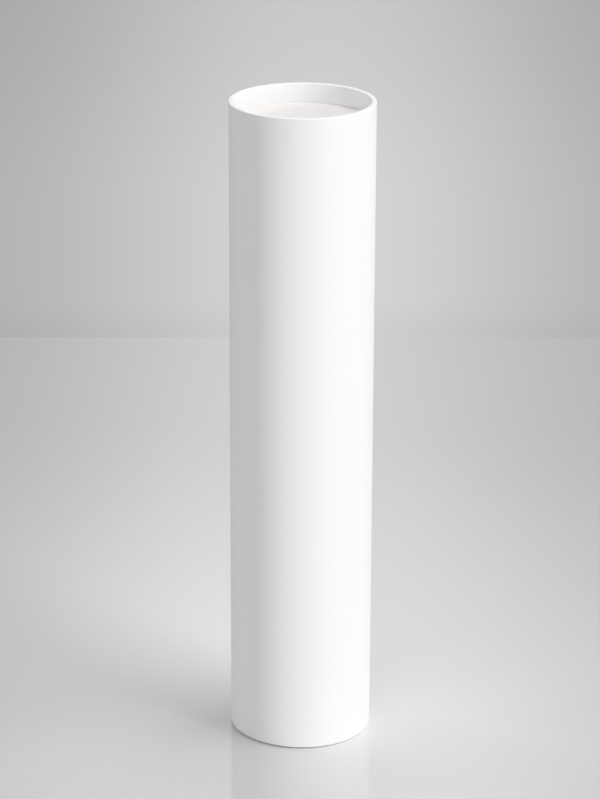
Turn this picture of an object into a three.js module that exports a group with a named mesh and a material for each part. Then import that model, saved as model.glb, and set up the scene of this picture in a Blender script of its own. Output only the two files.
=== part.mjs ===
// Mailing tube: a wound-paper tube that stands on its end, closed at both ends by press-in plastic plugs.
// Lengths are in millimetres. +Z is the tube's axis, and the origin is the middle of its foot, where it stands.
import * as THREE from 'three';

// Tube
const tubeDiameter = 60;
const tubeLength = 275;
const tubeWall = 2;
const rimRounding = 0.3; // the slightly softened corners of the two cut ends

// Plug, the same at both ends
const plugRecess = 8; // from the tube's end to the plug's outer face
const plugDepth = 14; // from the outer face to the end of the skirt
const plugFaceThickness = 1.4;
const plugSkirtWall = 1.2;
const plugEdgeRounding = 0.5; // outer edge of the face
const plugInnerFillet = 1; // between the face and the skirt, inside
const sealBandHeight = 2.4; // the straight band behind the face that bears on the bore
const ribCount = 3; // gripping ribs round the skirt, behind the band
const ribLand = 0.6; // flat top of each rib, along the axis
const ribProjection = 0.4; // how far the band and the ribs stand out from the skirt
const leadIn = 1.2; // taper at the skirt's end that starts the plug into the bore
const plugClearance = 0.08; // between the bore and the band and ribs, once they are squeezed in

// Fineness of the round surfaces
const roundSegments = 72;
const cornerSteps = 3;

const outerRadius = tubeDiameter / 2;
const boreRadius = outerRadius - tubeWall;
const gripRadius = boreRadius - plugClearance;
const skirtRadius = gripRadius - ribProjection;
const skirtInnerRadius = skirtRadius - plugSkirtWall;

const paper = new THREE.MeshStandardMaterial({ color: 0xf3f2f0, roughness: 0.82, metalness: 0 });
const plastic = new THREE.MeshStandardMaterial({ color: 0xf4f4f2, roughness: 0.5, metalness: 0 });

// Points along a quarter circle, from one angle to another, with both ends, as radius and height.
function corner(centreRadius, centreHeight, size, fromAngle, toAngle) {
  const points = [];
  for (let step = 0; step <= cornerSteps; step += 1) {
    const angle = fromAngle + ((toAngle - fromAngle) * step) / cornerSteps;
    const radius = centreRadius + size * Math.cos(angle);
    const height = centreHeight + size * Math.sin(angle);
    points.push(new THREE.Vector2(radius, height));
  }
  return points;
}

// Turns a profile of radius and height about the Z axis.
function turned(profile) {
  return new THREE.LatheGeometry(profile, roundSegments).rotateX(Math.PI / 2);
}

// The wall's section runs up the outside, over the rim, down the bore and under the foot, back to its start.
function tubeGeometry() {
  const foot = rimRounding;
  const rim = tubeLength - rimRounding;
  const outside = outerRadius - rimRounding;
  const inside = boreRadius + rimRounding;
  const profile = [
    ...corner(outside, foot, rimRounding, -Math.PI / 2, 0),
    ...corner(outside, rim, rimRounding, 0, Math.PI / 2),
    ...corner(inside, rim, rimRounding, Math.PI / 2, Math.PI),
    ...corner(inside, foot, rimRounding, Math.PI, (3 * Math.PI) / 2),
  ];
  profile.push(profile[0].clone());
  return turned(profile);
}

// One gripping rib: up its slope, along its land and down its other slope, between two heights on the skirt.
function rib(middle) {
  const top = middle + ribLand / 2;
  const bottom = middle - ribLand / 2;
  return [
    new THREE.Vector2(skirtRadius, bottom - ribProjection),
    new THREE.Vector2(gripRadius, bottom),
    new THREE.Vector2(gripRadius, top),
    new THREE.Vector2(skirtRadius, top + ribProjection),
  ];
}

// The plug's outer face is at height 0 and its skirt hangs below. The section starts on the axis, inside the face.
function plugGeometry() {
  const bandBottom = -sealBandHeight - ribProjection;
  const taperTop = -plugDepth + leadIn;
  const ribPitch = (bandBottom - taperTop) / (ribCount + 0.5);
  const ribs = [];
  for (let index = ribCount; index >= 1; index -= 1) {
    ribs.push(...rib(bandBottom - index * ribPitch));
  }
  const filletRadius = skirtInnerRadius - plugInnerFillet;
  const filletHeight = -plugFaceThickness - plugInnerFillet;
  const profile = [
    new THREE.Vector2(0, -plugFaceThickness),
    ...corner(filletRadius, filletHeight, plugInnerFillet, Math.PI / 2, 0),
    new THREE.Vector2(skirtInnerRadius, -plugDepth),
    new THREE.Vector2(skirtRadius - plugSkirtWall / 2, -plugDepth),
    new THREE.Vector2(skirtRadius, taperTop),
    ...ribs,
    new THREE.Vector2(skirtRadius, bandBottom),
    new THREE.Vector2(gripRadius, -sealBandHeight),
    ...corner(gripRadius - plugEdgeRounding, -plugEdgeRounding, plugEdgeRounding, 0, Math.PI / 2),
    new THREE.Vector2(0, 0),
  ];
  return turned(profile);
}

function namedMesh(name, geometry, material) {
  const mesh = new THREE.Mesh(geometry, material);
  mesh.name = name;
  return mesh;
}

const tube = namedMesh('tube', tubeGeometry(), paper);

const topPlug = namedMesh('top_plug', plugGeometry(), plastic);
topPlug.position.z = tubeLength - plugRecess;

const bottomPlug = namedMesh('bottom_plug', plugGeometry(), plastic);
bottomPlug.rotation.x = Math.PI;
bottomPlug.position.z = plugRecess;

const mailingTube = new THREE.Group();
mailingTube.add(tube, topPlug, bottomPlug);

export default mailingTube;
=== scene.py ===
"""A plain white mailing tube with a recessed plug at each end, standing on a pale studio floor.

Everything is in metres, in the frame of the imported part: +Z is the tube's axis and z = 0 is the floor.
"""

import math

import bpy
from mathutils import Matrix, Vector, noise


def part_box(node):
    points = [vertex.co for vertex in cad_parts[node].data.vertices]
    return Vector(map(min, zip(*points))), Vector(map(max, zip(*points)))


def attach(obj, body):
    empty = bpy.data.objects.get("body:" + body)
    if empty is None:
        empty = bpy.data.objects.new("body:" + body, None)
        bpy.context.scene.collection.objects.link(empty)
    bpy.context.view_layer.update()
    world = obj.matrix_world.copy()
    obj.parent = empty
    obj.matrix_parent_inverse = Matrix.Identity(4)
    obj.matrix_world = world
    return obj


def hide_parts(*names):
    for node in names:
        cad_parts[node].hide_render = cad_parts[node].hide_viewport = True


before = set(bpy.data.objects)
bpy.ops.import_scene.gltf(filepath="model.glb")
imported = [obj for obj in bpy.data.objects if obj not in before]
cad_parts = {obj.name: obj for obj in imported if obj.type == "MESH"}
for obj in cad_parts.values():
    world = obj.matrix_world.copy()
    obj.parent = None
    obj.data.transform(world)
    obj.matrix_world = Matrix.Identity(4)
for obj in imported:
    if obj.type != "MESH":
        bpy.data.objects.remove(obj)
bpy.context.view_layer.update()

MM = 0.001
TAU = 2 * math.pi

# The tube and the plugs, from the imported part
TUBE_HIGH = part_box("tube")[1]
PLUG_LOW, PLUG_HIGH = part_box("top_plug")
TUBE_RADIUS = TUBE_HIGH.x
TUBE_LENGTH = TUBE_HIGH.z
GRIP_RADIUS = PLUG_HIGH.x
PLUG_DEPTH = PLUG_HIGH.z - PLUG_LOW.z
PLUG_RECESS = TUBE_LENGTH - PLUG_HIGH.z
PLUG_CLEARANCE = 0.08 * MM
BORE_RADIUS = GRIP_RADIUS + PLUG_CLEARANCE
WALL = TUBE_RADIUS - BORE_RADIUS

# Tube
RIM_ROUNDING = 0.25 * MM
FOOT_ROUNDING = 0.15 * MM
PLY_COUNT = 5
PLY_GROOVE_DEPTH = 0.015 * MM
PLY_GROOVE_WIDTH = 0.06 * MM
WALL_ROW, BORE_ROW = 4 * MM, 8 * MM  # height between the rows of points, outside and inside
TUBE_COLUMNS = 384
WRAP, CUT, LINER = 0, 1, 2  # the slots of the tube's three papers

# Lap of the outer sheet, down the back of the tube
LAP_ANGLE = math.radians(112)  # where the sheet's free edge runs
LAP_STEP = 0.03 * MM  # the width over which the edge rises
LAP_STEP_COLUMN = 0.04 * MM  # from the edge to the column of points on top of the lap
LAP_WIDTH = 9 * MM
LAP_FADE = 2.5 * MM  # the width over which the lap sinks into the wall again
WRAP_THICKNESS = 0.08 * MM

# Unevenness of the wound wall
SWELL_DEPTH = 0.02 * MM
SWELL_CELL_HEIGHT = 45 * MM
SWELL_CELLS_PER_RADIUS = 1.6

# Foot of the tube, cut a touch askew
FOOT_LIFT_LEAST, FOOT_LIFT_MOST = 0.13 * MM, 0.74 * MM  # from the floor to the outer edge of the cut
FOOT_INNER_LIFT = 0.35 * MM  # from the floor to its inner edge, on the high side alone
FOOT_HIGH_ANGLE = math.radians(-145)  # the side where the cut stands highest
FOOT_OUTER_POWER, FOOT_INNER_POWER = 3, 6  # how fast the lift falls away from that side
FOOT_LIFT_REACH = 2 * MM  # the height at which the lift has faded out

# Plugs
FACE_THICKNESS = 1.4 * MM
FACE_EDGE_ROUNDING = 0.25 * MM
FACE_RINGS = (0.9, 0.7, 0.45, 0.2)  # rings of points on the flat face, as shares of its radius
INNER_FILLET = 1 * MM
SKIRT_WALL = 1.2 * MM
SKIRT_ROW = 3 * MM
SKIRT_END_ROUNDING = 0.2 * MM
SEAL_BAND = 2.4 * MM
LEAD_IN = 1.2 * MM
RIB_COUNT = 3
RIB_PROJECTION = 0.4 * MM
RIB_CREST = 0.6 * MM  # diameter of a rib's round crest
RIB_CREST_TURN = 60  # degrees that the crest turns each way before the flanks start
RIB_SPARE = 0.5  # share of the ribs' pitch left free beside the lead-in taper
GATE_RADIUS, GATE_END_RADIUS = 1.4 * MM, 0.98 * MM  # of the gate mark inside, at the face and at its end
GATE_HEIGHT = 0.5 * MM
PLUG_COLUMNS = 288

SHARP_ANGLE = math.radians(35)  # edges that turn more than this are shaded sharp

# Papers, in the order of the tube's slots: the colour, the bump's strength, how far the colour strays each
# way, and the mean roughness
PAPERS = {
    "white_wrap": {"colour": (0.89, 0.88, 0.883), "grain": 0.25, "mottle": 0.006, "roughness": 0.78},
    # The cut plies are the same white paper set lighter than the wall's: the extra lightness is painted
    # light on the up-facing rim
    "cut_plies_painted_light": {"colour": (0.955, 0.946, 0.941), "grain": 0.4, "mottle": 0.01, "roughness": 0.88},
    "white_liner": {"colour": (0.895, 0.888, 0.888), "grain": 0.3, "mottle": 0.008, "roughness": 0.84},
}
PAPER_ROUGHNESS_SPREAD = 0.06
PAPER_BUMP = 0.03 * MM
PAPER_SPECULAR = 0.35
CLOUD_SCALE, CLOUD_DETAIL = 55, 3.0
FIBRE_SCALE, FIBRE_DETAIL, FIBRE_HARSHNESS = 900, 3.0, 0.65
FIBRE_STRETCH = (1.0, 1.0, 0.35)  # makes the fibres longer along the tube's axis

# Plastic of the plugs
PLASTIC_COLOUR = (0.84, 0.822, 0.811)
PLASTIC_TONES = (0.992, 1.006)  # shares of the colour
PLASTIC_ROUGHNESS = (0.42, 0.56)
PLASTIC_GRAIN, PLASTIC_BUMP = 0.12, 0.02 * MM
SPARK_SCALE, SPARK_DETAIL = 2600, 1.0
FLOW_SCALE, FLOW_DETAIL = 70, 2.0

# Camera: fitted to the ellipses of the rim and the foot in the photograph
CAMERA_BACK = 1.19885
CAMERA_UP = 0.5805
CAMERA_PITCH = math.radians(19.893)
CAMERA_YAW = math.radians(-0.03)
CAMERA_ROLL = math.radians(0.219)
FOCAL_PIXELS = 3053.9
PICTURE_HEIGHT = 799
SENSOR = 36.0  # millimetres along the picture's longer side

# Stage: the floor ends at a line behind the tube, and the backdrop beyond it is the world's colour
FLOOR_BACK = 0.5133
FLOOR_BACK_SLOPE = 0.012  # keeps the far edge level in the picture, which the camera's roll would tip
FLOOR_REACH = 3.0
STAGE_TINT = (1.013, 0.989, 0.998)
FLOOR_EDGE, FLOOR_MIDDLE = 0.4, 0.793  # levels of grey far to the sides and in line with the tube; the rise between them is a painted pool of light
FLOOR_LIGHT_POOL_MIDDLE, FLOOR_LIGHT_POOL_SPREAD = -0.001, 0.14
FLOOR_PAINTED_FALLOFF_START, FLOOR_PAINTED_FALLOFF_END, FLOOR_PAINTED_FALLOFF = 0.051, 0.399, 0.799  # painted falloff of light towards the back
FLOOR_PAINTED_SHADOW = 0.221  # a painted shadow: the softly darker patch in front of the tube
FLOOR_PAINTED_SHADOW_X, FLOOR_PAINTED_SHADOW_WIDTH = -0.004, 0.058
FLOOR_PAINTED_SHADOW_Y, FLOOR_PAINTED_SHADOW_LENGTH = -0.084, 0.09
FLOOR_ROUGHNESS = 0.05
FLOOR_IOR = 3.0

# Backdrop: levels of grey by direction. A direction's height is the sine of its rise above the horizon.
BACKDROP_EDGE, BACKDROP_LIGHT_POOL = 0.42, 0.243  # the level at the sides, and what the painted pool of light in the middle adds to it
BACKDROP_LIGHT_POOL_MIDDLE, BACKDROP_LIGHT_POOL_SPREAD = 0.0066, 0.078
BACKDROP_TOP, BACKDROP_FULL, BACKDROP_TOP_SHARE = -0.2032, -0.2832, 0.875  # painted falloff of light, darker at the picture's top
BACKDROP_PAINTED_SHADE_START, BACKDROP_PAINTED_SHADE_END, BACKDROP_PAINTED_SHADE_SHARE = -0.3072, -0.3217, 0.94  # painted shade, darker just above the floor
SIDE_START, SIDE_END, SIDE_LEVEL = 0.15, 0.45, 0.488  # past the picture's sides, as the floor's far end
PLAIN_START, PLAIN_END, PLAIN_LEVEL = -0.178, 0.1, 0.78  # above the picture, one pale level

# Lamps, each with its azimuth from the camera's side towards +X, elevation, width and power in watts
LAMP_DISTANCE = 2.6  # from the middle of the tube
LAMP_HEIGHT = 1.2
STRIP, SOFTBOX = 0.4, 1.2  # widths
LAMPS = {
    "key_strip": (54, 3, STRIP, 26.1),
    "second_key_strip": (48, 8, STRIP, 16.1),
    "high_right_softbox": (75, 55, SOFTBOX, 16.6),
    "back_right_softbox": (135, 30, SOFTBOX, 13.3),
    "overhead": (90, 75, SOFTBOX, 23.3),
    "front_softbox": (-10, 32, SOFTBOX, 15.0),
    "front_left_softbox": (-40, 30, SOFTBOX, 8.7),
    "back_left_strip": (-125, 10, STRIP, 15.2),
}
WORLD_STRENGTH = 0.1
WHITE = (1, 1, 1, 1)


def join(tree, value, socket):
    """Sets an input to a number, or joins another node's output to it."""
    if isinstance(value, bpy.types.NodeSocket):
        tree.links.new(value, socket)
    else:
        socket.default_value = value


def add_node(tree, kind, settings=None, **inputs):
    """A new node with its settings, and its inputs set by number or joined to another node's output."""
    made = tree.nodes.new(kind)
    for name, value in (settings or {}).items():
        setattr(made, name, value)
    for name, value in inputs.items():
        join(tree, value, made.inputs[name.replace("_", " ")])
    return made


def new_material(name):
    """A material, its tree and its Principled shader."""
    material = bpy.data.materials.new(name)
    material.use_nodes = True
    return material, material.node_tree, material.node_tree.nodes["Principled BSDF"]


def math_of(tree, operation, first, second=0.0, clamp=False):
    """One step of arithmetic on numbers or outputs."""
    made = add_node(tree, "ShaderNodeMath", {"operation": operation, "use_clamp": clamp})
    join(tree, first, made.inputs[0])
    join(tree, second, made.inputs[1])
    return made.outputs["Value"]


def ramp(tree, value, start, end, low, high, kind="SMOOTHSTEP"):
    """A change from low to high while a value goes from start to end: smooth, or even if kind is LINEAR."""
    settings = {"interpolation_type": kind}
    limits = {"From_Min": start, "From_Max": end, "To_Min": low, "To_Max": high}
    return add_node(tree, "ShaderNodeMapRange", settings, Value=value, **limits).outputs["Result"]


def glow(tree, value, middle, spread):
    """A bell curve: 1 in the middle and 0 far from it on both sides."""
    offset = math_of(tree, "DIVIDE", math_of(tree, "SUBTRACT", value, middle), spread)
    square = math_of(tree, "MULTIPLY", offset, offset)
    return math_of(tree, "EXPONENT", math_of(tree, "MULTIPLY", square, -1.0))


def shifted(tree, level, goal, share):
    """A level carried towards a goal: not at all where the share is 0 and all the way where it is 1."""
    change = math_of(tree, "MULTIPLY", share, math_of(tree, "SUBTRACT", goal, level))
    return math_of(tree, "ADD", level, change)


def scaled(tree, colour, factor):
    """A colour made darker or lighter by a factor."""
    made = add_node(tree, "ShaderNodeVectorMath", {"operation": "SCALE"}, Scale=factor)
    made.inputs[0].default_value = colour
    return made.outputs["Vector"]


def axes_of(tree, space):
    """The X, Y and Z outputs of a shading point's place, or of a direction in the world."""
    place = add_node(tree, "ShaderNodeTexCoord").outputs[space]
    return add_node(tree, "ShaderNodeSeparateXYZ", Vector=place).outputs


def noise_of(tree, scale, detail, roughness=0.5, stretch=None):
    """Noise over the object's own coordinates, from 0 to 1. Scale is in features per metre."""
    place = add_node(tree, "ShaderNodeTexCoord").outputs["Object"]
    if stretch:
        place = add_node(tree, "ShaderNodeMapping", Vector=place, Scale=stretch).outputs["Vector"]
    grain = {"Scale": scale, "Detail": detail, "Roughness": roughness}
    return add_node(tree, "ShaderNodeTexNoise", Vector=place, **grain).outputs["Fac"]


def between(tree, factor, low, high):
    """Carries a factor from 0 to 1 onto low to high."""
    return ramp(tree, factor, 0.0, 1.0, low, high, "LINEAR")


def dress(tree, shader, colour, roughness, height, strength, distance):
    """Gives a shader its colour and roughness, and a bump from a height."""
    bump = add_node(tree, "ShaderNodeBump", Height=height, Strength=strength, Distance=distance)
    join(tree, colour, shader.inputs["Base Color"])
    join(tree, roughness, shader.inputs["Roughness"])
    join(tree, bump.outputs["Normal"], shader.inputs["Normal"])


def paper_material(name, colour, grain, mottle, roughness):
    """White paper: faint cloudy mottle and fine fibres in the colour, and the same fibres as bump."""
    material, tree, shader = new_material(name)
    cloud = noise_of(tree, CLOUD_SCALE, CLOUD_DETAIL)
    fibres = noise_of(tree, FIBRE_SCALE, FIBRE_DETAIL, FIBRE_HARSHNESS, FIBRE_STRETCH)
    tone = between(tree, cloud, 1 - mottle, 1 + mottle)
    fleck = between(tree, fibres, 1 - mottle, 1 + mottle)
    tint = scaled(tree, colour, math_of(tree, "MULTIPLY", tone, fleck))
    rough = between(tree, fibres, roughness - PAPER_ROUGHNESS_SPREAD, roughness + PAPER_ROUGHNESS_SPREAD)
    dress(tree, shader, tint, rough, fibres, grain, PAPER_BUMP)
    shader.inputs["Specular IOR Level"].default_value = PAPER_SPECULAR
    return material


def plastic_material():
    """White moulded plastic with a fine spark-eroded texture and a soft satin shine."""
    material, tree, shader = new_material("white_plastic")
    texture = noise_of(tree, SPARK_SCALE, SPARK_DETAIL)
    flow = noise_of(tree, FLOW_SCALE, FLOW_DETAIL)
    tint = scaled(tree, PLASTIC_COLOUR, between(tree, flow, *PLASTIC_TONES))
    rough = between(tree, texture, *PLASTIC_ROUGHNESS)
    dress(tree, shader, tint, rough, texture, PLASTIC_GRAIN, PLASTIC_BUMP)
    return material


def floor_material():
    """The pale floor: smooth enough to mirror the tube faintly. Its colour holds a painted pool of light
    near the tube, a painted falloff towards the back and a painted shadow in front of the tube.
    """
    material, tree, shader = new_material("floor_surface")
    axes = axes_of(tree, "Object")
    # Painted pool of light: the floor is brighter in line with the tube than far to the sides
    share = glow(tree, axes["X"], FLOOR_LIGHT_POOL_MIDDLE, FLOOR_LIGHT_POOL_SPREAD)
    level = math_of(tree, "MULTIPLY", share, FLOOR_MIDDLE - FLOOR_EDGE)
    level = math_of(tree, "ADD", level, FLOOR_EDGE)
    # Painted falloff of light: the floor grows darker towards the back
    fade = ramp(tree, axes["Y"], FLOOR_PAINTED_FALLOFF_START, FLOOR_PAINTED_FALLOFF_END, 1.0, FLOOR_PAINTED_FALLOFF)
    level = math_of(tree, "MULTIPLY", level, fade)
    # Painted shadow: a soft darker patch on the floor in front of the tube
    across = glow(tree, axes["X"], FLOOR_PAINTED_SHADOW_X, FLOOR_PAINTED_SHADOW_WIDTH)
    along = glow(tree, axes["Y"], FLOOR_PAINTED_SHADOW_Y, FLOOR_PAINTED_SHADOW_LENGTH)
    painted_shadow = math_of(tree, "MULTIPLY", math_of(tree, "MULTIPLY", across, along), FLOOR_PAINTED_SHADOW)
    level = math_of(tree, "SUBTRACT", level, painted_shadow)
    join(tree, scaled(tree, STAGE_TINT, level), shader.inputs["Base Color"])
    shader.inputs["Roughness"].default_value = FLOOR_ROUGHNESS
    shader.inputs["IOR"].default_value = FLOOR_IOR
    return material


def arc(centre_radius, centre_height, size, start, end, steps=5):
    """Points of radius and height along a rounded corner, both ends included. Angles are in degrees."""
    points = []
    for step in range(steps + 1):
        angle = math.radians(start + (end - start) * step / steps)
        points.append((centre_radius + size * math.cos(angle), centre_height + size * math.sin(angle)))
    return points


def rows_between(radius, start, end, pitch):
    """Points on a straight wall between two heights, without the ends, about pitch apart."""
    count = max(1, round(abs(end - start) / pitch))
    return [(radius, start + (end - start) * row / count) for row in range(1, count)]


def turned(name, profile, angles, materials, relief=None):
    """Turns a profile of (radius, height, slot) about the Z axis into a mesh object.

    A profile that starts and ends on the axis gets a single point there. Any other closes on itself.
    The slot is the material of the faces that run from that point to the next one.
    relief moves a point: it takes radius, height and angle, and gives the new radius and height.
    """
    on_axis = profile[0][0] == 0
    vertices, rings = [], []
    for radius, height, _ in profile:
        if radius == 0:
            rings.append([len(vertices)] * len(angles))
            vertices.append((0, 0, height))
            continue
        rings.append(list(range(len(vertices), len(vertices) + len(angles))))
        for angle in angles:
            r, z = relief(radius, height, angle) if relief else (radius, height)
            vertices.append((r * math.cos(angle), r * math.sin(angle), z))
    faces, slots = [], []
    last = len(profile) - 1 if on_axis else len(profile)
    for row in range(last):
        lower, upper = rings[row], rings[(row + 1) % len(profile)]
        for column in range(len(angles)):
            beside = (column + 1) % len(angles)
            corners = [lower[column], lower[beside], upper[beside], upper[column]]
            faces.append(list(dict.fromkeys(corners)))
            slots.append(profile[row][2])
    mesh = bpy.data.meshes.new(name)
    mesh.from_pydata(vertices, [], faces)
    mesh.polygons.foreach_set("material_index", slots)
    mesh.polygons.foreach_set("use_smooth", [True] * len(faces))
    mesh.set_sharp_from_angle(angle=SHARP_ANGLE)
    for material in materials:
        mesh.materials.append(material)
    mesh.update()
    made = bpy.data.objects.new(name, mesh)
    bpy.context.scene.collection.objects.link(made)
    even = made.modifiers.new("even_normals", "WEIGHTED_NORMAL")
    even.keep_sharp = True
    return made


def cut_end(height, side, rounding):
    """The cut wall seen end on: two rounded corners and the fine grooves between the plies.

    side is 1 for the rim, which runs from outside in, and -1 for the foot, which runs from inside out.
    """
    outer = TUBE_RADIUS - rounding
    inner = BORE_RADIUS + rounding
    level = height - side * rounding
    bottom = height - side * PLY_GROOVE_DEPTH
    half = PLY_GROOVE_WIDTH / 2
    grooves = []
    for ply in range(1, PLY_COUNT):
        middle = outer + (inner - outer) * ply / PLY_COUNT
        grooves += [(middle + half, height), (middle, bottom), (middle - half, height)]
    if side > 0:
        return arc(outer, level, rounding, 0, 90) + grooves + arc(inner, level, rounding, 90, 180)
    return arc(inner, level, rounding, 180, 270) + grooves[::-1] + arc(outer, level, rounding, 270, 360)


def foot_lift(angle, depth):
    """How far the cut stands above the floor at a depth into the wall: most outside and on one side."""
    nearness = (1 + math.cos(angle - FOOT_HIGH_ANGLE)) / 2
    outer = FOOT_LIFT_LEAST + (FOOT_LIFT_MOST - FOOT_LIFT_LEAST) * nearness ** FOOT_OUTER_POWER
    inner = FOOT_INNER_LIFT * nearness ** FOOT_INNER_POWER
    return outer + (inner - outer) * depth / WALL


def lap_height(angle):
    """How far the outer sheet's lap stands out, as a share of the sheet: 1 on the lap and 0 beside it."""
    past = (angle - LAP_ANGLE) % TAU * TUBE_RADIUS
    step = min(1.0, past / LAP_STEP)
    fall = min(1.0, max(0.0, (LAP_WIDTH - past) / LAP_FADE))
    return step * fall * fall * (3 - 2 * fall)


def tube_relief(radius, height, angle):
    """Moves a point of the tube by the outer sheet's lap, the wall's unevenness and the foot's lift."""
    depth = TUBE_RADIUS - radius
    outside = max(0.0, 1 - depth / (WALL / 2))
    cell_x = math.cos(angle) * SWELL_CELLS_PER_RADIUS
    cell_y = math.sin(angle) * SWELL_CELLS_PER_RADIUS
    swell = noise.noise(Vector((cell_x, cell_y, height / SWELL_CELL_HEIGHT)))
    sheet = outside * WRAP_THICKNESS * (1 - lap_height(angle))
    r = radius - sheet - SWELL_DEPTH * (0.5 + 0.5 * swell) * outside
    fading = max(0.0, 1 - height / FOOT_LIFT_REACH)
    return r, height + foot_lift(angle, depth) * fading


def with_slots(points, slot, last):
    """Adds the slot of the faces that follow each point. Those after the last point take another slot."""
    slots = [slot] * (len(points) - 1) + [last]
    return [(r, z, number) for (r, z), number in zip(points, slots)]


def make_tube(papers):
    """The wound paper tube: outer wall, rim, bore and foot."""
    low = FOOT_ROUNDING
    high = TUBE_LENGTH - RIM_ROUNDING
    profile = with_slots(rows_between(TUBE_RADIUS, low, high, WALL_ROW), WRAP, WRAP)
    profile += with_slots(cut_end(TUBE_LENGTH, 1, RIM_ROUNDING), CUT, LINER)
    profile += with_slots(rows_between(BORE_RADIUS, high, low, BORE_ROW), LINER, LINER)
    profile += with_slots(cut_end(0.0, -1, FOOT_ROUNDING), CUT, WRAP)
    angles = [TAU * column / TUBE_COLUMNS for column in range(TUBE_COLUMNS)]
    angles += [LAP_ANGLE, LAP_ANGLE + LAP_STEP_COLUMN / TUBE_RADIUS]
    return turned("paper_tube", profile, sorted(angles), papers, tube_relief)


def plug_profile():
    """The plug's section with its outer face at height 0 and its skirt hanging below."""
    skirt = GRIP_RADIUS - RIB_PROJECTION
    inside = skirt - SKIRT_WALL
    band_end = -SEAL_BAND - RIB_PROJECTION
    taper = -PLUG_DEPTH + LEAD_IN
    pitch = (band_end - taper) / (RIB_COUNT + RIB_SPARE)
    crest = RIB_CREST / 2
    gate_end = -FACE_THICKNESS - GATE_HEIGHT
    fillet_end = -FACE_THICKNESS - INNER_FILLET
    rounding = SKIRT_END_ROUNDING
    points = [(0, gate_end), (GATE_END_RADIUS, gate_end), (GATE_RADIUS, -FACE_THICKNESS)]
    points += arc(inside - INNER_FILLET, fillet_end, INNER_FILLET, 90, 0)
    points += rows_between(inside, fillet_end, -PLUG_DEPTH, SKIRT_ROW)
    points += arc(inside + rounding, -PLUG_DEPTH + rounding, rounding, 180, 270, steps=3)
    points += [(skirt - SKIRT_WALL / 2, -PLUG_DEPTH), (skirt, taper)]
    for index in range(RIB_COUNT, 0, -1):
        middle = band_end - index * pitch
        points += [(skirt, middle - crest - RIB_PROJECTION)]
        points += arc(GRIP_RADIUS - crest, middle, crest, -RIB_CREST_TURN, RIB_CREST_TURN, steps=4)
        points += [(skirt, middle + crest + RIB_PROJECTION)]
    points += [(skirt, band_end), (GRIP_RADIUS, -SEAL_BAND)]
    points += arc(GRIP_RADIUS - FACE_EDGE_ROUNDING, -FACE_EDGE_ROUNDING, FACE_EDGE_ROUNDING, 0, 90)
    points += [(GRIP_RADIUS * share, 0) for share in FACE_RINGS]
    return points + [(0, 0)]


def make_plug(name, face_height, outward, plastic):
    """A press-in plug with its face at a height, looking out of the tube: outward is 1 up and -1 down."""
    points = plug_profile()
    if outward < 0:
        points = [(r, -z) for r, z in points][::-1]
    profile = [(r, face_height + z, 0) for r, z in points]
    angles = [TAU * column / PLUG_COLUMNS for column in range(PLUG_COLUMNS)]
    return turned(name, profile, angles, [plastic])


def make_floor():
    """The pale floor that the tube stands on."""
    half, front = FLOOR_REACH, -FLOOR_REACH
    back_left = FLOOR_BACK - half * FLOOR_BACK_SLOPE
    back_right = FLOOR_BACK + half * FLOOR_BACK_SLOPE
    corners = [(-half, front, 0), (half, front, 0), (half, back_right, 0), (-half, back_left, 0)]
    mesh = bpy.data.meshes.new("floor")
    mesh.from_pydata(corners, [], [(0, 1, 2, 3)])
    mesh.materials.append(floor_material())
    made = bpy.data.objects.new("floor", mesh)
    bpy.context.scene.collection.objects.link(made)


def add_lamp(name, azimuth, elevation, width, power):
    """A lamp that faces the middle of the tube, lights it, and is seen neither directly nor in gloss."""
    turn, rise = math.radians(azimuth), math.radians(elevation)
    towards = Vector((math.sin(turn) * math.cos(rise), -math.cos(turn) * math.cos(rise), math.sin(rise)))
    light = bpy.data.lights.new(name, "AREA")
    light.shape = "RECTANGLE"
    light.size, light.size_y = width, LAMP_HEIGHT
    light.energy = power
    lamp = bpy.data.objects.new(name, light)
    lamp.location = Vector((0, 0, TUBE_LENGTH / 2)) + towards * LAMP_DISTANCE
    lamp.rotation_mode = "QUATERNION"
    lamp.rotation_quaternion = towards.to_track_quat("Z", "Y")
    lamp.visible_camera = False
    lamp.visible_glossy = False
    bpy.context.scene.collection.objects.link(lamp)


def backdrop_level(tree):
    """The backdrop's level of grey: a painted glow of light behind the tube, a painted falloff towards the
    picture's top and painted shade just above the floor, plainer beside and above the picture.
    """
    axes = axes_of(tree, "Generated")
    # Painted pool of light: brighter behind the tube than at the sides
    share = glow(tree, axes["X"], BACKDROP_LIGHT_POOL_MIDDLE, BACKDROP_LIGHT_POOL_SPREAD)
    level = math_of(tree, "ADD", math_of(tree, "MULTIPLY", share, BACKDROP_LIGHT_POOL), BACKDROP_EDGE)
    # Painted falloff of light: darker towards the picture's top
    top = ramp(tree, axes["Z"], BACKDROP_TOP, BACKDROP_FULL, BACKDROP_TOP_SHARE, 1.0)
    # Painted shade: darker just above the floor, where the corner would lie in shade
    foot = ramp(tree, axes["Z"], BACKDROP_PAINTED_SHADE_START, BACKDROP_PAINTED_SHADE_END, 1.0, BACKDROP_PAINTED_SHADE_SHARE)
    level = math_of(tree, "MULTIPLY", level, math_of(tree, "MULTIPLY", top, foot))
    aside = ramp(tree, math_of(tree, "ABSOLUTE", axes["X"]), SIDE_START, SIDE_END, 0.0, 1.0)
    level = shifted(tree, level, SIDE_LEVEL, aside)
    above = ramp(tree, axes["Z"], PLAIN_START, PLAIN_END, 0.0, 1.0)
    return shifted(tree, level, PLAIN_LEVEL, above)


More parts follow.
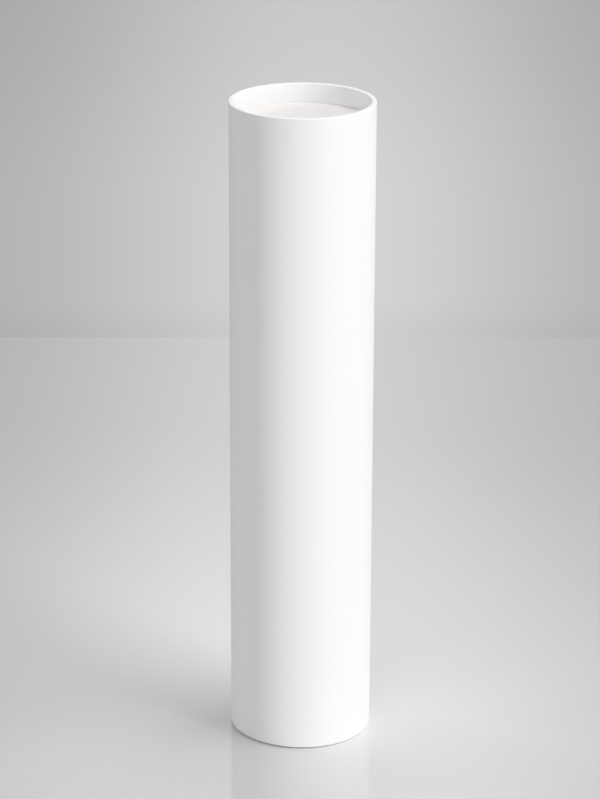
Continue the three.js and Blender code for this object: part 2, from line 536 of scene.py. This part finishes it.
def add_world():
    """Even light from all round, and the pale backdrop that the camera and the reflections see."""
    world = bpy.data.worlds.new("studio")
    world.use_nodes = True
    tree = world.node_tree
    light = tree.nodes["Background"]
    light.name = "even_light"
    light.inputs["Strength"].default_value = WORLD_STRENGTH
    light.inputs["Color"].default_value = WHITE
    tint = scaled(tree, STAGE_TINT, backdrop_level(tree))
    backdrop = add_node(tree, "ShaderNodeBackground", {"name": "backdrop"}, Color=tint)
    rays = add_node(tree, "ShaderNodeLightPath").outputs
    seen = math_of(tree, "ADD", rays["Is Camera Ray"], rays["Is Glossy Ray"])
    seen = math_of(tree, "ADD", seen, rays["Is Transmission Ray"], clamp=True)
    mix = add_node(tree, "ShaderNodeMixShader", Fac=seen)
    tree.links.new(light.outputs["Background"], mix.inputs[1])
    tree.links.new(backdrop.outputs["Background"], mix.inputs[2])
    tree.links.new(mix.outputs["Shader"], tree.nodes["World Output"].inputs["Surface"])
    bpy.context.scene.world = world


def add_camera():
    """The photograph's view: straight at the tube, about 20 degrees down."""
    forward = Vector((
        math.sin(CAMERA_YAW) * math.cos(CAMERA_PITCH),
        math.cos(CAMERA_YAW) * math.cos(CAMERA_PITCH),
        -math.sin(CAMERA_PITCH),
    ))
    level = Vector((math.cos(CAMERA_YAW), -math.sin(CAMERA_YAW), 0))
    upright = level.cross(forward)
    right = level * math.cos(CAMERA_ROLL) + upright * math.sin(CAMERA_ROLL)
    up = upright * math.cos(CAMERA_ROLL) - level * math.sin(CAMERA_ROLL)
    turn = Matrix((right, up, -forward)).transposed().to_4x4()
    lens = bpy.data.cameras.new("camera")
    lens.sensor_width = SENSOR
    lens.lens = FOCAL_PIXELS / PICTURE_HEIGHT * SENSOR
    camera = bpy.data.objects.new("camera", lens)
    camera.matrix_world = Matrix.Translation((0, -CAMERA_BACK, CAMERA_UP)) @ turn
    bpy.context.scene.collection.objects.link(camera)
    bpy.context.scene.camera = camera


papers = [paper_material(name, **look) for name, look in PAPERS.items()]
plastic = plastic_material()

tube = make_tube(papers)
upper = make_plug("upper_plug", TUBE_LENGTH - PLUG_RECESS, 1, plastic)
lower = make_plug("lower_plug", PLUG_RECESS, -1, plastic)

for piece, body, node, slot in (
    (tube, "tube", "tube", "paper"),
    (upper, "top_plug", "top_plug", "plastic"),
    (lower, "bottom_plug", "bottom_plug", "plastic"),
):
    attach(piece, body)
    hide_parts(node)

make_floor()
for name, settings in LAMPS.items():
    add_lamp(name, *settings)
add_world()
add_camera()
bpy.context.scene.view_settings.view_transform = "Standard"
